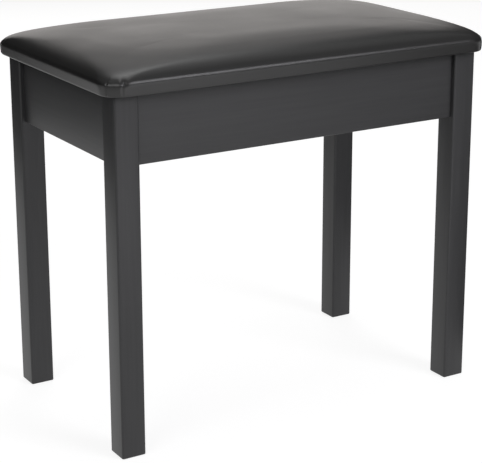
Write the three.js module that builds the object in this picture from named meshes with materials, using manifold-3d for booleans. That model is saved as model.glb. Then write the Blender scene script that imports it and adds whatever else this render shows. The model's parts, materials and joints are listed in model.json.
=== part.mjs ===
// Keyboard bench: four square legs, a box of deep rails with a storage floor, and a padded lid on hinges.
// Millimetres, +Z up, +X along the long side, -Y towards the player's side, origin on the floor under
// the middle of the seat. Left is -X, front is -Y, and the lid is hinged along the rear rail.
import * as THREE from 'three';
import { mergeVertices } from 'three/addons/utils/BufferGeometryUtils.js';
import Module from 'manifold-3d';

const wasm = await Module();
wasm.setup();

// Frame: overall sizes, legs and rails
const frameWidth = 522;
const frameDepth = 302;
const legTopHeight = 450;
const legSide = 32;
const legArris = 2.5;
const legEndEase = 1.2;
const railHeight = 85;
const railThickness = 15;
const railRecess = 6.5;
const railEase = 1.2;

// Foot pads
const padDiameter = 24;
const padThickness = 1;

// Storage floor, held in a groove round the rails
const floorThickness = 5;
const floorAboveRailBottom = 8;
const grooveDepth = 5;

// Corner blocks and leg bolts
const blockReach = 32;
const blockTopDrop = 12;
const blockFloorGap = 1;
const legFlat = 8;
const boltDiameter = 6;
const boltGripInLeg = 14;
const boltFlangeDiameter = 14;
const boltFlangeThickness = 1.5;
const boltHexAcross = 10;
const boltHeadHeight = 5;
const boltTipEase = 0.8;
const boltEndDistance = 14;

// Seat lid: board, foam, cover and lining
const lidGap = 1.5;
const seatOverhang = 13;
const seatCornerRadius = 24;
const coverThickness = 1;
const boardThickness = 12;
const bandHeight = 14.6;
const bandLowerRound = 2.2;
const ridgeRound = 1.9;
const creaseInset = 3.2;
const shoulderWidth = 28;
const shoulderCornerRadius = 130;
const crownHeight = 22.8;
const coverMargin = 22;
const pleatDepth = 0.8;
const pleatFromMiddleDegrees = 22.5;
const pleatWidthDegrees = 7;

// Bumpers between the front rail and the lid
const bumperDiameter = 10;
const bumperThickness = 1.2;
const bumperEndDistance = 31;

// Butt hinges
const hingeLength = 60;
const hingeEndDistance = 82;
const hingeBarrelRadius = 2.8;
const hingePinRadius = 1.2;
const hingeLeafThickness = 1.2;
const hingeLeafReach = 19.2;
const hingeAxisInsideLegFace = 2;
const hingeKnuckles = 5;

// Countersunk wood screws
const screwShankRadius = 1.5;
const screwHeadRadius = 3;
const screwHeadHeight = 1.1;
const screwLength = 10.5;
const hingeScrewSpacing = 36;
const hingeScrewBehindRailFace = 8;

// Lid stays: an arm hung under the lid slides in an arched track on each side rail
const lidOpenDegrees = 75;
const stayPivotDrop = 11;
const stayArmRestDip = 6;
const stayArmOpenDip = 51;
const stayArmWidth = 12;
const stayArmThickness = 2;
const stayPinRadius = 2.2;
const stayRivetHeadRadius = 4.2;
const stayRivetHeadThickness = 1.2;
const trackThickness = 1.5;
const trackStandoff = 2.4;
const trackHalfHeight = 7.5;
const trackBlockGap = 2.2;
const trackFootMargin = 1;
const trackRampLength = 3;
const panHeadRadius = 2.9;
const panHeadHeight = 1.7;
const bracketThickness = 1.5;
const bracketWidth = 18;
const bracketFlangeReach = 20;
const bracketBottomRound = 7;
const bracketHoleInset = 6;

// Fits and facet counts
const fit = 0.3;
const cutOverrun = 2;
const weldDistance = 0.001;
const roundSides = 16;
const screwSides = 12;
const hexSides = 6;
const arrisSteps = 2;
const seatCornerSteps = 8;
const trackSteps = 15;
const roundEndSteps = 8;
const colours = {
  paintedWood: { color: 0x3a3a3c, roughness: 0.5, metalness: 0 },
  bareBoard: { color: 0x9a7b55, roughness: 0.8, metalness: 0 },
  blackPanel: { color: 0x2b2b2c, roughness: 0.75, metalness: 0 },
  foam: { color: 0xd8cfae, roughness: 0.95, metalness: 0 },
  leather: { color: 0x2d2c2c, roughness: 0.42, metalness: 0 },
  lining: { color: 0x202022, roughness: 0.95, metalness: 0 },
  rubber: { color: 0x1c1c1c, roughness: 0.9, metalness: 0 },
  zincSteel: { color: 0xb9bcc0, roughness: 0.35, metalness: 0.9 },
};

// Places worked out from the sizes above
const halfWidth = frameWidth / 2;
const halfDepth = frameDepth / 2;
const railTop = legTopHeight;
const railBottom = railTop - railHeight;
const railInnerX = halfWidth - railRecess - railThickness;
const railInnerY = halfDepth - railRecess - railThickness;
const legInnerX = halfWidth - legSide;
const legInnerY = halfDepth - legSide;
const lidUnderside = railTop + lidGap;
const seatHalfX = halfWidth + seatOverhang;
const seatHalfY = halfDepth + seatOverhang;
const boardEase = bandLowerRound - coverThickness - fit;
const hingeAxisY = halfDepth - hingeAxisInsideLegFace;
const hingeAxisZ = lidUnderside - hingeBarrelRadius - fit;
const rearRailTop = hingeAxisZ - hingeBarrelRadius - fit;
const hingeScrewY = halfDepth - railRecess - hingeScrewBehindRailFace;
const hingeCentreX = halfWidth - hingeEndDistance - hingeLength / 2;
const trackScrewRadius = screwShankRadius + fit;
// From the slot's end to the foot's screw: room for the pin's head, the ramp and the screw's head
const trackTail = stayRivetHeadRadius + trackRampLength + 2 * trackFootMargin + panHeadRadius;

const radians = THREE.MathUtils.degToRad;
const quarterTurn = Math.PI / 2;
const unitX = new THREE.Vector3(1, 0, 0);
const unitY = new THREE.Vector3(0, 1, 0);
const unitZ = new THREE.Vector3(0, 0, 1);
// Stands a shape drawn in Y and Z upright, so that it is extruded or turned along X.
const alongX = new THREE.Matrix4().makeBasis(unitY, unitZ, unitX);

// Outlines
function arc(centreX, centreY, radius, fromDegrees, toDegrees, steps) {
  const points = [];
  for (let step = 0; step <= steps; step += 1) {
    const angle = radians(THREE.MathUtils.lerp(fromDegrees, toDegrees, step / steps));
    points.push(new THREE.Vector2(centreX + radius * Math.cos(angle), centreY + radius * Math.sin(angle)));
  }
  return points;
}

function roundedRectangle(halfX, halfY, radius, steps) {
  const x = halfX - radius;
  const y = halfY - radius;
  return [
    ...arc(x, y, radius, 0, 90, steps),
    ...arc(-x, y, radius, 90, 180, steps),
    ...arc(-x, -y, radius, 180, 270, steps),
    ...arc(x, -y, radius, 270, 360, steps),
  ];
}

function circle(centreX, centreY, radius, sides) {
  return arc(centreX, centreY, radius, 0, 360 - 360 / sides, sides - 1);
}

// The outline of a disc rolled along a path: both offsets of the path, joined by round ends.
function rolledOutline(path, radius) {
  const left = [];
  const right = [];
  path.forEach((point, index) => {
    const ahead = path[Math.min(index + 1, path.length - 1)];
    const behind = path[Math.max(index - 1, 0)];
    const side = ahead.clone().sub(behind).normalize().multiplyScalar(radius);
    left.push(new THREE.Vector2(point.x - side.y, point.y + side.x));
    right.push(new THREE.Vector2(point.x + side.y, point.y - side.x));
  });
  const heading = (from, to) => THREE.MathUtils.radToDeg(Math.atan2(to.y - from.y, to.x - from.x));
  const endHeading = heading(path.at(-2), path.at(-1));
  const startHeading = heading(path[0], path[1]);
  const farEnd = arc(path.at(-1).x, path.at(-1).y, radius, endHeading - 90, endHeading + 90, roundEndSteps);
  const nearEnd = arc(path[0].x, path[0].y, radius, startHeading + 90, startHeading + 270, roundEndSteps);
  return [...right.slice(0, -1), ...farEnd, ...left.reverse().slice(1, -1), ...nearEnd.slice(0, -1)];
}

// Solids
function slab(outline, thickness, holes = []) {
  const shape = new THREE.Shape(outline);
  holes.forEach((hole) => shape.holes.push(new THREE.Path(hole)));
  return new THREE.ExtrudeGeometry(shape, { depth: thickness, bevelEnabled: false, curveSegments: 1 });
}

function easedSlab(outline, thickness, ease) {
  const shape = new THREE.Shape(outline);
  const geometry = new THREE.ExtrudeGeometry(shape, {
    depth: thickness - 2 * ease,
    bevelEnabled: true,
    bevelThickness: ease,
    bevelSize: ease,
    bevelOffset: -ease,
    bevelSegments: 2,
    curveSegments: 1,
  });
  geometry.translate(0, 0, ease);
  return geometry;
}

function turned(profile, sides) {
  const points = profile.map(([radius, height]) => new THREE.Vector2(radius, height));
  const geometry = new THREE.LatheGeometry(points, sides);
  geometry.rotateX(quarterTurn);
  return geometry;
}

// Welds the corners, drops faces with no area and turns all faces outwards.
function closed(geometry) {
  const bare = new THREE.BufferGeometry();
  bare.setAttribute('position', geometry.getAttribute('position'));
  bare.setIndex(geometry.getIndex());
  const welded = mergeVertices(bare, weldDistance);
  const corners = welded.getIndex().array;
  const position = welded.getAttribute('position');
  const faces = [];
  const [a, b, c] = [new THREE.Vector3(), new THREE.Vector3(), new THREE.Vector3()];
  let volume = 0;
  for (let first = 0; first < corners.length; first += 3) {
    const face = [corners[first], corners[first + 1], corners[first + 2]];
    if (new Set(face).size === 3) {
      faces.push(face);
      a.fromBufferAttribute(position, face[0]);
      b.fromBufferAttribute(position, face[1]);
      c.fromBufferAttribute(position, face[2]);
      volume += a.dot(b.cross(c));
    }
  }
  if (volume < 0) faces.forEach((face) => face.reverse());
  welded.setIndex(faces.flat());
  return welded;
}

function solidOf(geometry) {
  const welded = closed(geometry);
  const vertProperties = Float32Array.from(welded.getAttribute('position').array);
  const triVerts = Uint32Array.from(welded.getIndex().array);
  return new wasm.Manifold(new wasm.Mesh({ numProp: 3, vertProperties, triVerts }));
}

function geometryOf(solid) {
  const mesh = solid.getMesh();
  const geometry = new THREE.BufferGeometry();
  geometry.setAttribute('position', new THREE.BufferAttribute(mesh.vertProperties, 3));
  geometry.setIndex(new THREE.BufferAttribute(mesh.triVerts, 1));
  return geometry;
}

function cut(geometry, ...tools) {
  const solid = tools.reduce((body, tool) => body.subtract(solidOf(tool)), solidOf(geometry));
  return geometryOf(solid);
}

function join(geometry, ...others) {
  const solid = others.reduce((body, other) => body.add(solidOf(other)), solidOf(geometry));
  return geometryOf(solid);
}

function box(lowX, highX, lowY, highY, lowZ, highZ) {
  const geometry = new THREE.BoxGeometry(highX - lowX, highY - lowY, highZ - lowZ);
  geometry.translate((lowX + highX) / 2, (lowY + highY) / 2, (lowZ + highZ) / 2);
  return geometry;
}

function cylinder(radius, lowZ, highZ, sides, x = 0, y = 0) {
  const geometry = slab(circle(x, y, radius, sides), highZ - lowZ);
  geometry.translate(0, 0, lowZ);
  return geometry;
}

function part(name, geometry, finish, position = [0, 0, 0], turn = 0) {
  const ready = closed(geometry);
  ready.computeVertexNormals();
  const mesh = new THREE.Mesh(ready, new THREE.MeshStandardMaterial(colours[finish]));
  mesh.name = name;
  mesh.position.set(...position);
  mesh.rotation.z = turn;
  return mesh;
}

// Fasteners, drawn with the underside of the head's rim at height zero and the shank going down
function countersunkScrew() {
  return turned([
    [0, -screwLength],
    [screwShankRadius, -screwLength + screwShankRadius],
    [screwShankRadius, -screwHeadHeight],
    [screwHeadRadius, 0],
    [0, 0],
  ], screwSides);
}

function countersink(clearance) {
  return turned([
    [0, -screwLength - clearance],
    [screwShankRadius + clearance, -screwLength - clearance],
    [screwShankRadius + clearance, -screwHeadHeight - clearance],
    [screwHeadRadius + clearance, 0],
    [screwHeadRadius + clearance, cutOverrun],
    [0, cutOverrun],
  ], screwSides);
}

function panScrew() {
  return turned([
    [0, -screwLength],
    [screwShankRadius, -screwLength + screwShankRadius],
    [screwShankRadius, 0],
    [panHeadRadius, 0],
    [panHeadRadius, panHeadHeight / 2],
    [panHeadRadius / 2, panHeadHeight],
    [0, panHeadHeight],
  ], screwSides);
}

// A two-headed rivet along Z that clamps from zero to the given grip, with the fit outside each face
function stayRivet(grip) {
  const top = grip + fit;
  const bottom = -fit;
  const radius = stayRivetHeadRadius;
  const thickness = stayRivetHeadThickness;
  return turned([
    [0, bottom - thickness],
    [radius / 2, bottom - thickness],
    [radius, bottom - thickness / 2],
    [radius, bottom],
    [stayPinRadius, bottom],
    [stayPinRadius, top],
    [radius, top],
    [radius, top + thickness / 2],
    [radius / 2, top + thickness],
    [0, top + thickness],
  ], roundSides).applyMatrix4(alongX);
}

// Legs, bolts, corner blocks and pads. Each corner is drawn with the leg's axis at the origin and the
// storage compartment towards +X and +Y, then turned into its corner.
const legHalf = legSide / 2;
const legOuterToRailInner = railRecess + railThickness;
const railInnerFromLegAxis = legOuterToRailInner - legHalf;
const legFlatDistance = (2 * legHalf - legFlat / Math.SQRT2) / Math.SQRT2;
const blockFaceDistance = (legHalf + blockReach + railInnerFromLegAxis) / Math.SQRT2;
const floorTop = railBottom + floorAboveRailBottom + floorThickness;
const blockBottom = floorTop + blockFloorGap;
const blockTop = railTop - blockTopDrop;
const boltHeights = [blockBottom + boltEndDistance, blockTop - boltEndDistance];
const boltHoleRadius = boltDiameter / 2 + fit;
const boltShankLength = blockFaceDistance - legFlatDistance + boltGripInLeg;
// Maps a piece drawn along +Z onto the diagonal that points out of the leg into the compartment.
const ontoDiagonal = new THREE.Matrix4()
  .makeRotationZ(radians(45))
  .multiply(new THREE.Matrix4().makeRotationY(quarterTurn));

function alongDiagonal(geometry, distance, height) {
  geometry.translate(0, 0, distance);
  geometry.applyMatrix4(ontoDiagonal);
  geometry.translate(0, 0, height);
  return geometry;
}

function boltHoles(deepEnd, shallowEnd) {
  return boltHeights.map((height) => {
    const hole = cylinder(boltHoleRadius, 0, shallowEnd - deepEnd, screwSides);
    return alongDiagonal(hole, deepEnd, height);
  });
}

function legGeometry() {
  const outline = roundedRectangle(legHalf, legHalf, legArris, arrisSteps);
  const post = easedSlab(outline, legTopHeight - padThickness, legEndEase);
  post.translate(0, 0, padThickness);
  const wedge = box(
    legFlatDistance, legSide, -legSide, legSide, blockBottom - fit, legTopHeight + cutOverrun);
  wedge.rotateZ(radians(45));
  const deepEnd = legFlatDistance - boltGripInLeg - fit;
  return cut(post, wedge, ...boltHoles(deepEnd, legSide));
}

function cornerBlockGeometry() {
  const inner = railInnerFromLegAxis;
  const legFace = legHalf + fit;
  const flatEnd = (legFlatDistance + fit) * Math.SQRT2 - legFace;
  const outline = [
    new THREE.Vector2(legFace, inner),
    new THREE.Vector2(legHalf + blockReach, inner),
    new THREE.Vector2(inner, legHalf + blockReach),
    new THREE.Vector2(inner, legFace),
    new THREE.Vector2(flatEnd, legFace),
    new THREE.Vector2(legFace, flatEnd),
  ];
  const block = slab(outline, blockTop - blockBottom);
  block.translate(0, 0, blockBottom);
  return cut(block, ...boltHoles(0, legSide + blockReach));
}

function legBoltGeometry() {
  const shank = turned([
    [0, -boltShankLength],
    [boltDiameter / 2 - boltTipEase, -boltShankLength],
    [boltDiameter / 2, -boltShankLength + boltTipEase],
    [boltDiameter / 2, 0],
    [boltFlangeDiameter / 2, 0],
    [boltFlangeDiameter / 2, boltFlangeThickness / 2],
    [boltHexAcross / 2, boltFlangeThickness],
    [0, boltFlangeThickness],
  ], screwSides);
  const hexRadius = boltHexAcross / Math.sqrt(3);
  const hex = slab(circle(0, 0, hexRadius, hexSides), boltHeadHeight - boltFlangeThickness / 2);
  hex.translate(0, 0, boltFlangeThickness / 2);
  return join(shank, hex);
}

function footPadGeometry() {
  const ease = padThickness / 3;
  const radius = padDiameter / 2;
  return turned([[0, 0], [radius - ease, 0], [radius, ease], [radius, padThickness], [0, padThickness]],
    roundSides);
}

const corners = [
  { name: 'front_left', x: -1, y: -1, turn: 0 },
  { name: 'front_right', x: 1, y: -1, turn: quarterTurn },
  { name: 'rear_right', x: 1, y: 1, turn: 2 * quarterTurn },
  { name: 'rear_left', x: -1, y: 1, turn: -quarterTurn },
];

function makeCorner(corner) {
  const group = new THREE.Group();
  group.position.set(corner.x * (halfWidth - legHalf), corner.y * (halfDepth - legHalf), 0);
  group.rotation.z = corner.turn;
  group.add(part(`${corner.name}_leg`, legGeometry(), 'paintedWood'));
  group.add(part(`${corner.name}_corner_block`, cornerBlockGeometry(), 'bareBoard'));
  group.add(part(`${corner.name}_foot_pad`, footPadGeometry(), 'rubber'));
  boltHeights.forEach((height, index) => {
    const bolt = alongDiagonal(legBoltGeometry(), blockFaceDistance + fit, height);
    const level = index === 0 ? 'lower' : 'upper';
    group.add(part(`${corner.name}_${level}_leg_bolt`, bolt, 'zincSteel'));
  });
  return group;
}

// Rails, drawn along X with the outer face towards -Y, the inner face at Y zero and Z zero at the bottom
function railGeometry(length, height) {
  const outer = -railThickness;
  const grooveLow = floorAboveRailBottom - fit;
  const grooveHigh = floorAboveRailBottom + floorThickness + fit;
  const profile = [
    ...arc(outer + railEase, railEase, railEase, 180, 270, arrisSteps),
    ...arc(-railEase, railEase, railEase, 270, 360, arrisSteps),
    new THREE.Vector2(0, grooveLow),
    new THREE.Vector2(-grooveDepth, grooveLow),
    new THREE.Vector2(-grooveDepth, grooveHigh),
    new THREE.Vector2(0, grooveHigh),
    new THREE.Vector2(0, height),
    ...arc(outer + railEase, height - railEase, railEase, 90, 180, arrisSteps),
  ];
  const rail = slab(profile, length);
  rail.applyMatrix4(alongX);
  rail.translate(-length / 2, 0, 0);
  return rail;
}

function makeRails() {
  const longLength = 2 * legInnerX;
  const shortLength = 2 * legInnerY;
  const fullHeight = railTop - railBottom;
  const rearHeight = rearRailTop - railBottom;
  const rearHoles = hingeScrewPlaces().map(([x]) => {
    const hole = countersink(fit);
    hole.translate(x, hingeScrewY - railInnerY, rearHeight + hingeLeafThickness);
    return hole.rotateZ(2 * quarterTurn);
  });
  const sideHoles = (side) => trackScrewPlaces().map((place) => {
    const hole = cylinder(trackScrewRadius, -cutOverrun, screwLength, screwSides);
    hole.rotateX(quarterTurn);
    hole.translate(side * place.x, 0, place.y - railBottom);
    return hole;
  });
  const front = railGeometry(longLength, fullHeight);
  const rear = cut(railGeometry(longLength, rearHeight), ...rearHoles);
  const left = cut(railGeometry(shortLength, fullHeight), ...sideHoles(-1));
  const right = cut(railGeometry(shortLength, fullHeight), ...sideHoles(1));
  return [
    part('front_rail', front, 'paintedWood', [0, -railInnerY, railBottom]),
    part('rear_rail', rear, 'paintedWood', [0, railInnerY, railBottom], 2 * quarterTurn),
    part('left_rail', left, 'paintedWood', [-railInnerX, 0, railBottom], -quarterTurn),
    part('right_rail', right, 'paintedWood', [railInnerX, 0, railBottom], quarterTurn),
  ];
}

// Storage floor, notched round the legs
function makeStorageFloor() {
  const x = railInnerX + grooveDepth - fit;
  const y = railInnerY + grooveDepth - fit;
  const notchX = legInnerX - fit;
  const notchY = legInnerY - fit;
  const outline = [
    [x, -notchY], [x, notchY], [notchX, notchY], [notchX, y],
    [-notchX, y], [-notchX, notchY], [-x, notchY], [-x, -notchY],
    [-notchX, -notchY], [-notchX, -y], [notchX, -y], [notchX, -notchY],
  ].map(([px, py]) => new THREE.Vector2(px, py));
  const floor = slab(outline, floorThickness);
  return part('storage_floor', floor, 'blackPanel', [0, 0, railBottom + floorAboveRailBottom]);
}

// Seat lid. Rings of the same rounded rectangle, each at its own inset and height, form every layer.
function edgeRadius(inset) {
  return Math.max(seatCornerRadius - inset, boardEase);
}

// Above the crease the corners grow rounder, as the foam is drawn down most there.
function cushionRadius(inset) {
  const share = THREE.MathUtils.smoothstep(inset, creaseInset, shoulderWidth);
  return THREE.MathUtils.lerp(edgeRadius(inset), shoulderCornerRadius, share);
}

function seatRing(inset, height, radius = edgeRadius(inset), shrink = 1, pleat = 0) {
  const points = roundedRectangle(seatHalfX - inset, seatHalfY - inset, radius, seatCornerSteps);
  return points.map((point, index) => {
    const along = (index % (seatCornerSteps + 1)) / seatCornerSteps;
    const fromMiddle = Math.abs(along - 1 / 2) * quarterTurn;
    const fromPleat = Math.abs(fromMiddle - radians(pleatFromMiddleDegrees));
    const fold = pleat * Math.max(0, 1 - fromPleat / radians(pleatWidthDegrees));
    const scale = shrink * (1 - fold / point.length());
    return new THREE.Vector3(point.x * scale, point.y * scale, height);
  });
}

function loft(rings, closeStart, closeEnd) {
  const size = rings[0].length;
  const vertices = rings.flat().flatMap((point) => point.toArray());
  const faces = [];
  for (let ring = 0; ring + 1 < rings.length; ring += 1) {
    for (let index = 0; index < size; index += 1) {
      const next = (index + 1) % size;
      const [low, lowNext] = [ring * size + index, ring * size + next];
      const [high, highNext] = [low + size, lowNext + size];
      faces.push(low, lowNext, highNext, low, highNext, high);
    }
  }
  const fan = (ring, height, flip) => {
    const centre = vertices.length / 3;
    vertices.push(0, 0, height);
    for (let index = 0; index < size; index += 1) {
      const pair = [ring * size + index, ring * size + (index + 1) % size];
      faces.push(centre, ...(flip ? pair.reverse() : pair));
    }
  };
  if (closeStart !== null) fan(0, closeStart, true);
  if (closeEnd !== null) fan(rings.length - 1, closeEnd, false);
  const geometry = new THREE.BufferGeometry();
  geometry.setAttribute('position', new THREE.Float32BufferAttribute(vertices, 3));
  geometry.setIndex(faces);
  return geometry;
}

// The side of the upholstery from the band's foot to the shoulder: [inset, height over the underside]
const shoulderShares = [[0.03, 0.07], [0.1, 0.2], [0.24, 0.38], [0.46, 0.55], [0.72, 0.68], [1, 0.76]];
const innerRingShares = [0.78, 0.52, 0.26];
const shoulderHeightShare = shoulderShares.at(-1)[1];

// The outer surface has depth zero. A deeper one lies under it by that distance.
function seatSideProfile(depth) {
  const round = bandLowerRound;
  const ridgeHeight = bandHeight - ridgeRound;
  const foot = arc(round, round, round - depth, 270, 180, arrisSteps);
  const ridge = arc(ridgeRound, ridgeHeight, ridgeRound - depth, 180, 90, arrisSteps);
  const ridgeEnd = new THREE.Vector2(ridgeRound, bandHeight);
  const crease = new THREE.Vector2(creaseInset, bandHeight);
  const span = shoulderWidth - creaseInset;
  const shoulder = shoulderShares.map(([across, up]) => (
    new THREE.Vector2(creaseInset + span * across, bandHeight + crownHeight * up)));
  return [...foot, ...ridge, ...under([ridgeEnd, crease, ...shoulder], depth).slice(1)];
}

// Moves a profile inwards by the thickness of what lies over it.
function under(profile, depth) {
  return profile.map((point, index) => {
    const ahead = profile[Math.min(index + 1, profile.length - 1)];
    const behind = profile[Math.max(index - 1, 0)];
    const along = ahead.clone().sub(behind).normalize();
    return new THREE.Vector2(point.x + along.y * depth, point.y - along.x * depth);
  });
}

// The crowned middle of the seat: rings shrunk towards the centre, rising as a dome
function crownRings(shoulderPoint, drop) {
  const shoulderUp = shoulderHeightShare * crownHeight;
  return innerRingShares.map((share) => {
    const rise = (crownHeight - shoulderUp) * (1 - share ** 2);
    const height = lidUnderside + bandHeight + shoulderUp + rise - drop;
    return seatRing(shoulderPoint.x, height, shoulderCornerRadius, share);
  });
}

function makeSeatCover() {
  const outer = seatSideProfile(0);
  const inner = seatSideProfile(coverThickness);
  const crownTop = lidUnderside + bandHeight + crownHeight;
  const ringAt = (point) => (
    seatRing(point.x, lidUnderside + point.y, cushionRadius(point.x), 1, pleatAt(point)));
  const innerRingAt = (point) => seatRing(point.x, lidUnderside + point.y, cushionRadius(point.x));
  const rings = [
    ...crownRings(outer.at(-1), 0).reverse(),
    ...outer.map(ringAt).reverse(),
    seatRing(coverMargin, lidUnderside),
    seatRing(coverMargin, lidUnderside + coverThickness),
    ...inner.map(innerRingAt),
    ...crownRings(inner.at(-1), coverThickness),
  ];
  return part('seat_cover', loft(rings, crownTop, crownTop - coverThickness), 'leather');
}

// The folded corners: two grooves in each, down the band and over the ridge, fading out on the shoulder
function pleatAt(point) {
  const fromFoot = THREE.MathUtils.smoothstep(point.y, 0, bandLowerRound);
  const toShoulder = 1 - THREE.MathUtils.smoothstep(point.x, creaseInset, shoulderWidth / 2);
  return pleatDepth * fromFoot * toShoulder;
}

function makeSeatFoam() {
  const boardTop = coverThickness + boardThickness;
  const side = seatSideProfile(coverThickness + fit);
  const shoulder = side.filter((point) => point.x > creaseInset && point.y > boardTop);
  const foot = new THREE.Vector2(shoulder[0].x, boardTop);
  const rings = [
    ...[foot, ...shoulder].map((point) => (
      seatRing(point.x, lidUnderside + point.y, cushionRadius(point.x)))),
    ...crownRings(shoulder.at(-1), coverThickness + fit),
  ];
  const crownTop = lidUnderside + bandHeight + crownHeight - coverThickness - fit;
  return part('seat_foam', loft(rings, lidUnderside + boardTop, crownTop), 'foam');
}

function lidScrewHoles() {
  return hingeScrewPlaces().map(([x]) => {
    const hole = countersink(fit);
    hole.rotateX(2 * quarterTurn);
    hole.translate(x, hingeScrewY, lidUnderside - hingeLeafThickness);
    return hole;
  });
}

function makeSeatBoard() {
  const inset = coverThickness + fit;
  const outline = roundedRectangle(
    seatHalfX - inset, seatHalfY - inset, edgeRadius(inset), seatCornerSteps);
  const board = easedSlab(outline, boardThickness, boardEase);
  board.translate(0, 0, lidUnderside + coverThickness);
  return part('seat_board', cut(board, ...lidScrewHoles()), 'bareBoard');
}

function makeLidLining() {
  const inset = coverMargin + fit;
  const outline = roundedRectangle(
    seatHalfX - inset, seatHalfY - inset, edgeRadius(inset), arrisSteps);
  const lining = slab(outline, coverThickness);
  lining.translate(0, 0, lidUnderside);
  return part('lid_lining', cut(lining, ...lidScrewHoles()), 'lining');
}

function makeBumpers() {
  const ease = bumperThickness / 3;
  const radius = bumperDiameter / 2;
  const profile = [[0, 0], [radius, 0], [radius, bumperThickness - ease],
    [radius - ease, bumperThickness], [0, bumperThickness]];
  const x = legInnerX - bumperEndDistance;
  const y = -railInnerY - railThickness / 2;
  return [-1, 1].map((side) => (
    part(`${side < 0 ? 'left' : 'right'}_lid_bumper`, turned(profile, roundSides), 'rubber',
      [side * x, y, railTop])));
}

// Butt hinges, drawn round the hinge's own centre with the axis along X at the origin
function hingeScrewPlaces() {
  return [-1, 1].flatMap((side) => [-1, 1].map((end) => (
    [side * hingeCentreX + end * hingeScrewSpacing / 2, side, end])));
}

// One leaf. The rail leaf lies below the axis and has the outer knuckles, the lid leaf lies above it.
function hingeLeafGeometry(above, ownsKnuckle) {
  const barrel = hingeBarrelRadius;
  const seat = barrel + fit;
  const knuckle = hingeLength / hingeKnuckles;
  const [low, high] = above ? [seat - hingeLeafThickness, seat] : [-seat, hingeLeafThickness - seat];
  const half = hingeLength / 2;
  const plate = box(-half, half, -hingeLeafReach, -seat - fit, low, high);
  const pieces = [];
  for (let index = 0; index < hingeKnuckles; index += 1) {
    if (ownsKnuckle(index)) {
      const start = -half + index * knuckle + (index > 0 ? fit / 2 : 0);
      const end = -half + (index + 1) * knuckle - (index < hingeKnuckles - 1 ? fit / 2 : 0);
      const curl = cylinder(barrel, 0, end - start, roundSides);
      curl.applyMatrix4(alongX);
      curl.translate(start, 0, 0);
      pieces.push(curl, box(start, end, -seat - cutOverrun, 0, low, high));
    }
  }
  const bore = cylinder(hingePinRadius + fit, -half - cutOverrun, half + cutOverrun, roundSides);
  bore.applyMatrix4(alongX);
  const holes = [-1, 1].map((end) => {
    const hole = countersink(fit / 2);
    if (above) hole.rotateX(2 * quarterTurn);
    hole.translate(end * hingeScrewSpacing / 2, hingeScrewY - hingeAxisY, above ? low : high);
    return hole;
  });
  return cut(join(plate, ...pieces), bore, ...holes);
}

function hingePinGeometry() {
  const half = hingeLength / 2;
  const ease = hingePinRadius / 3;
  const pin = turned([
    [0, -half], [hingePinRadius - ease, -half], [hingePinRadius, ease - half],
    [hingePinRadius, half - ease], [hingePinRadius - ease, half], [0, half],
  ], roundSides);
  return pin.applyMatrix4(alongX);
}

function makeHinge(side) {
  const name = side < 0 ? 'left' : 'right';
  const group = new THREE.Group();
  group.position.set(side * hingeCentreX, hingeAxisY, hingeAxisZ);
  const isRailKnuckle = (index) => index % 2 === 0;
  group.add(part(`${name}_hinge_rail_leaf`, hingeLeafGeometry(false, isRailKnuckle), 'zincSteel'));
  group.add(part(`${name}_hinge_lid_leaf`, hingeLeafGeometry(true, (k) => !isRailKnuckle(k)), 'zincSteel'));
  group.add(part(`${name}_hinge_pin`, hingePinGeometry(), 'zincSteel'));
  const faceHeight = hingeBarrelRadius + fit - hingeLeafThickness;
  [-1, 1].forEach((end) => {
    const number = end < 0 ? 1 : 2;
    const place = [end * hingeScrewSpacing / 2, hingeScrewY - hingeAxisY];
    const lidScrew = countersunkScrew().rotateX(2 * quarterTurn);
    group.add(part(`${name}_hinge_rail_screw_${number}`, countersunkScrew(), 'zincSteel',
      [...place, -faceHeight]));
    group.add(part(`${name}_hinge_lid_screw_${number}`, lidScrew, 'zincSteel', [...place, faceHeight]));
  });
  return group;
}

// Lid stays, worked out in the plane of Y and Z: a point here is (Y, Z).
// As the lid opens, the pivot rises with its distance ahead of the hinge and with its drop below it, and
// the arm dips by as much, so that both ends of the slot are level. The closed stay reaches from the hinge
// to just short of the front corner block.
const stayPivotBelowHinge = stayPivotDrop - (lidUnderside - hingeAxisZ);
const lidOpenAngle = radians(lidOpenDegrees);
const armDipGain = Math.sin(radians(stayArmOpenDip)) - Math.sin(radians(stayArmRestDip));
const armPerAhead = Math.sin(lidOpenAngle) / armDipGain;
const armPerDrop = (1 - Math.cos(lidOpenAngle)) / armDipGain;
const armAcross = Math.cos(radians(stayArmRestDip));
const frontBlockEndY = blockReach - legInnerY;
const stayReach = hingeAxisY - frontBlockEndY - trackBlockGap - trackHalfHeight - trackTail;
const stayPivotAhead = (stayReach - stayPivotBelowHinge * armPerDrop * armAcross)
  / (1 + armPerAhead * armAcross);
const stayArmLength = stayPivotAhead * armPerAhead + stayPivotBelowHinge * armPerDrop;
const stayPivot = new THREE.Vector2(hingeAxisY - stayPivotAhead, lidUnderside - stayPivotDrop);
const stayHinge = new THREE.Vector2(hingeAxisY, hingeAxisZ);

// Where the sliding pin is when the lid is open by the given share of its travel
function stayPinAt(share) {
  const pivot = stayPivot.clone().rotateAround(stayHinge, -lidOpenAngle * share);
  const dip = radians(THREE.MathUtils.lerp(stayArmRestDip, stayArmOpenDip, share));
  const toPin = new THREE.Vector2(-Math.cos(dip), -Math.sin(dip)).multiplyScalar(stayArmLength);
  return pivot.add(toPin);
}

function stayPinPath() {
  return Array.from({ length: trackSteps + 1 }, (_, step) => stayPinAt(step / trackSteps));
}

// The track strip runs past both ends of the slot, level, to a foot with a screw in its round end.
function trackScrewPlaces() {
  const path = stayPinPath();
  return [
    new THREE.Vector2(path[0].x - trackTail, path[0].y),
    new THREE.Vector2(path.at(-1).x + trackTail, path.at(-1).y),
  ];
}

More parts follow.
